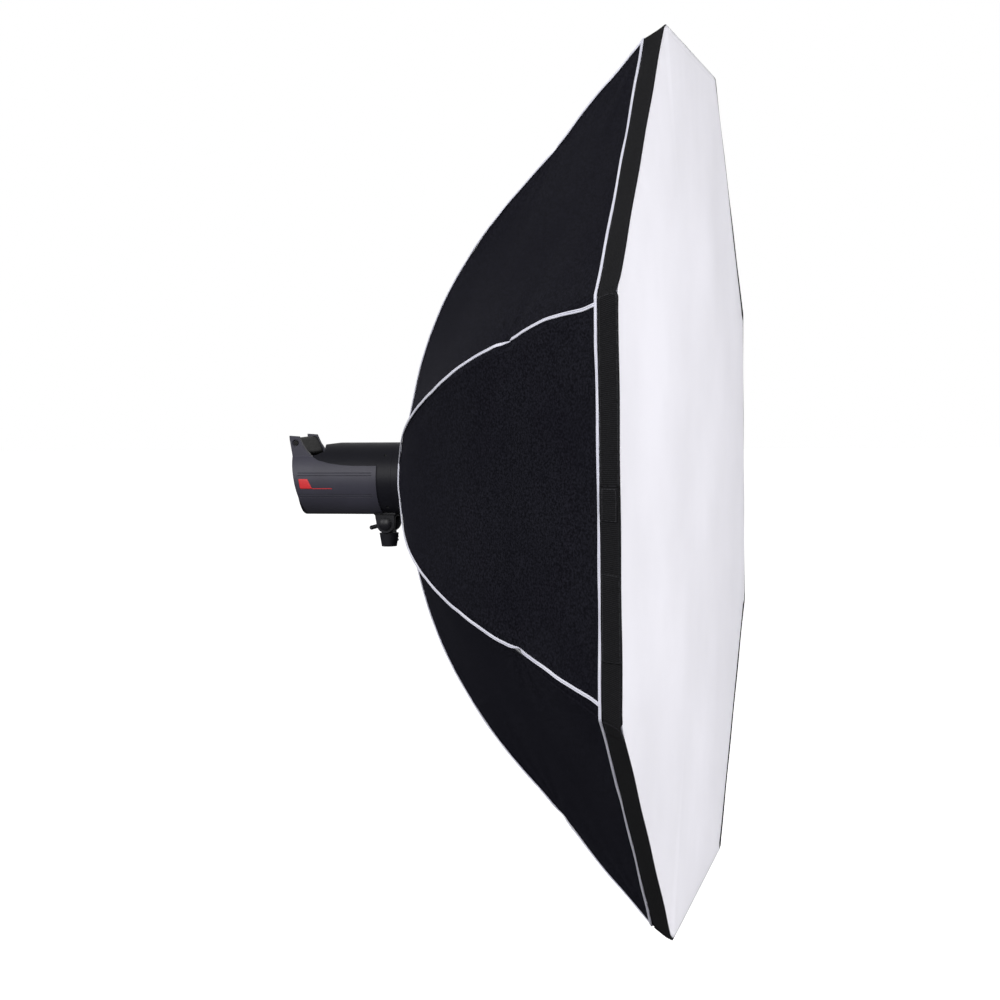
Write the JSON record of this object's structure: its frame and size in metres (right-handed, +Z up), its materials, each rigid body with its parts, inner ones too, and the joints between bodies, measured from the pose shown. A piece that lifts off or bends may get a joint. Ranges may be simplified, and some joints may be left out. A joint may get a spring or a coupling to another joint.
{
  "type": "octabox",
  "caption": "Eight-sided folding softbox with sprung rods, shell, inner baffle and front diffuser on a rotating speedring, carried by a flash head with a tilting stand socket.",
  "frame": {"origin": "centre of the stand socket's mouth, on the stud bore's axis", "axes": "-Y out of the front diffuser along the box axis, +Z up, +X to the right seen from the front"},
  "size_m": [1.75, 0.873, 1.75],
  "materials": {
    "ring_alloy": "black anodised, satin",
    "bare_alloy": "machined, satin",
    "rod_steel": "ground spring steel",
    "zinc_steel": "zinc plated",
    "nylon": "natural nylon",
    "shell_cloth": "black brushed polyester, silver coated inside",
    "lip_webbing": "ribbed hook-and-loop band",
    "piping": "pale grey woven piping",
    "baffle_cloth": "thin white translucent cloth",
    "diffuser_cloth": "white translucent cloth",
    "elastic": "white elastic webbing",
    "housing_plastic": "fine textured moulding",
    "side_plastic": "satin moulding",
    "handle_plastic": "soft-touch moulding",
    "panel_plastic": "fine textured moulding",
    "control_plastic": "semi-gloss moulding",
    "button_plastic": "translucent grey",
    "ceramic": "white heat-proof plate",
    "tube_quartz": "clear quartz",
    "lamp_glass": "frosted",
    "dome_glass": "clear borosilicate",
    "cast_black": "black powder coat"
  },
  "bodies": {
    "stand_bracket": {"stand_socket": "cast_black"},
    "head": {"tilt_yoke": "cast_black", "tilt_bolt": "cast_black", "bayonet_insert": "bare_alloy", "front_collar": "housing_plastic", "head_housing": "housing_plastic", "side_shell_left": "side_plastic", "side_shell_right": "side_plastic", "handle_tray": "handle_plastic", "handle_bar": "handle_plastic", "rear_panel": "panel_plastic", "lamp_plate": "ceramic", "flash_tube": "tube_quartz", "modelling_lamp": "lamp_glass", "glass_dome": "dome_glass", "housing_screws": "cast_black"},
    "speedring": {"ring_body": "ring_alloy", "glide_ring": "nylon", "retaining_ring": "bare_alloy", "ring_screws": "zinc_steel", "hinge_pins": "zinc_steel", "pin_clips": "zinc_steel", "shell_panel_1": "shell_cloth", "shell_panel_2": "shell_cloth", "shell_panel_3": "shell_cloth", "shell_panel_4": "shell_cloth", "shell_panel_5": "shell_cloth", "shell_panel_6": "shell_cloth", "shell_panel_7": "shell_cloth", "shell_panel_8": "shell_cloth", "rear_collar": "shell_cloth", "lip_band": "lip_webbing", "rod_pockets": "shell_cloth", "rim_piping": "piping", "seam_piping": "piping", "inner_baffle": "baffle_cloth", "baffle_straps": "elastic"},
    "rod_1": {"rod_holder_1": "ring_alloy", "rod_1": "rod_steel"},
    "rod_2": {"rod_holder_2": "ring_alloy", "rod_2": "rod_steel"},
    "rod_3": {"rod_holder_3": "ring_alloy", "rod_3": "rod_steel"},
    "rod_4": {"rod_holder_4": "ring_alloy", "rod_4": "rod_steel"},
    "rod_5": {"rod_holder_5": "ring_alloy", "rod_5": "rod_steel"},
    "rod_6": {"rod_holder_6": "ring_alloy", "rod_6": "rod_steel"},
    "rod_7": {"rod_holder_7": "ring_alloy", "rod_7": "rod_steel"},
    "rod_8": {"rod_holder_8": "ring_alloy", "rod_8": "rod_steel"},
    "front_diffuser": {"front_diffuser": "diffuser_cloth"},
    "tilt_lever": {"tilt_lever": "control_plastic"},
    "stand_lock_knob": {"stand_lock_knob": "control_plastic"},
    "control_dial": {"control_dial": "control_plastic"},
    "test_button": {"test_button": "button_plastic"},
    "power_switch": {"power_switch": "control_plastic"},
    "bayonet_lock": {"bayonet_lock": "housing_plastic"}
  },
  "joints": [
    {"name": "bracket_tilt", "type": "hinge", "parent": "stand_bracket", "child": "head", "pos_m": [0, 0, 0.0505], "axis": [-1, 0, 0], "range_deg": [-30, 60]},
    {"name": "box_rotation", "type": "hinge", "parent": "head", "child": "speedring", "pos_m": [0, -0.053, 0.1475], "axis": [0, -1, 0], "continuous": true},
    {"name": "box_fold", "type": "hinge", "parent": "speedring", "child": "rod_1", "pos_m": [0.08684, -0.0745, 0.18347], "axis": [0.3827, 0, -0.9239], "range_deg": [0, 52], "deforming": ["shell_panel_1", "shell_panel_2", "shell_panel_3", "shell_panel_4", "shell_panel_5", "shell_panel_6", "shell_panel_7", "shell_panel_8", "rear_collar", "lip_band", "rod_pockets", "rim_piping", "seam_piping", "inner_baffle", "baffle_straps", "front_diffuser"]},
    {"name": "rod_2_fold", "type": "hinge", "parent": "speedring", "child": "rod_2", "pos_m": [0.03597, -0.0745, 0.23434], "axis": [0.9239, 0, -0.3827], "range_deg": [0, 52]},
    {"name": "rod_3_fold", "type": "hinge", "parent": "speedring", "child": "rod_3", "pos_m": [-0.03597, -0.0745, 0.23434], "axis": [0.9239, 0, 0.3827], "range_deg": [0, 52]},
    {"name": "rod_4_fold", "type": "hinge", "parent": "speedring", "child": "rod_4", "pos_m": [-0.08684, -0.0745, 0.18347], "axis": [0.3827, 0, 0.9239], "range_deg": [0, 52]},
    {"name": "rod_5_fold", "type": "hinge", "parent": "speedring", "child": "rod_5", "pos_m": [-0.08684, -0.0745, 0.11153], "axis": [-0.3827, 0, 0.9239], "range_deg": [0, 52]},
    {"name": "rod_6_fold", "type": "hinge", "parent": "speedring", "child": "rod_6", "pos_m": [-0.03597, -0.0745, 0.06066], "axis": [-0.9239, 0, 0.3827], "range_deg": [0, 52]},
    {"name": "rod_7_fold", "type": "hinge", "parent": "speedring", "child": "rod_7", "pos_m": [0.03597, -0.0745, 0.06066], "axis": [-0.9239, 0, -0.3827], "range_deg": [0, 52]},
    {"name": "rod_8_fold", "type": "hinge", "parent": "speedring", "child": "rod_8", "pos_m": [0.08684, -0.0745, 0.11153], "axis": [-0.3827, 0, -0.9239], "range_deg": [0, 52]},
    {"name": "diffuser_peel", "type": "slide", "parent": "speedring", "child": "front_diffuser", "axis": [0, -1, 0], "range_m": [0, 0.25]},
    {"name": "tilt_lever_turn", "type": "hinge", "parent": "head", "child": "tilt_lever", "pos_m": [0.0394, 0, 0.0505], "axis": [-1, 0, 0], "range_deg": [0, 45]},
    {"name": "stand_lock_turn", "type": "hinge", "parent": "stand_bracket", "child": "stand_lock_knob", "pos_m": [0.025, 0, 0.0145], "axis": [1, 0, 0], "range_deg": [0, 360]},
    {"name": "dial_turn", "type": "hinge", "parent": "head", "child": "control_dial", "pos_m": [0.034, 0.18432, 0.13764], "axis": [0, 0.9859, -0.1676], "continuous": true},
    {"name": "test_button_press", "type": "slide", "parent": "head", "child": "test_button", "axis": [0, -0.9859, 0.1676], "range_m": [0, 0.0015]},
    {"name": "power_switch_rock", "type": "hinge", "parent": "head", "child": "power_switch", "pos_m": [-0.022, 0.17461, 0.10734], "axis": [1, 0, 0], "range_deg": [0, 16]},
    {"name": "lock_slide", "type": "slide", "parent": "head", "child": "bayonet_lock", "axis": [0, 1, 0], "range_m": [0, 0.004]}
  ],
  "couplings": [
    {"joint": "rod_2_fold", "follows": "box_fold", "ratio": 1},
    {"joint": "rod_3_fold", "follows": "box_fold", "ratio": 1},
    {"joint": "rod_4_fold", "follows": "box_fold", "ratio": 1},
    {"joint": "rod_5_fold", "follows": "box_fold", "ratio": 1},
    {"joint": "rod_6_fold", "follows": "box_fold", "ratio": 1},
    {"joint": "rod_7_fold", "follows": "box_fold", "ratio": 1},
    {"joint": "rod_8_fold", "follows": "box_fold", "ratio": 1}
  ]
}
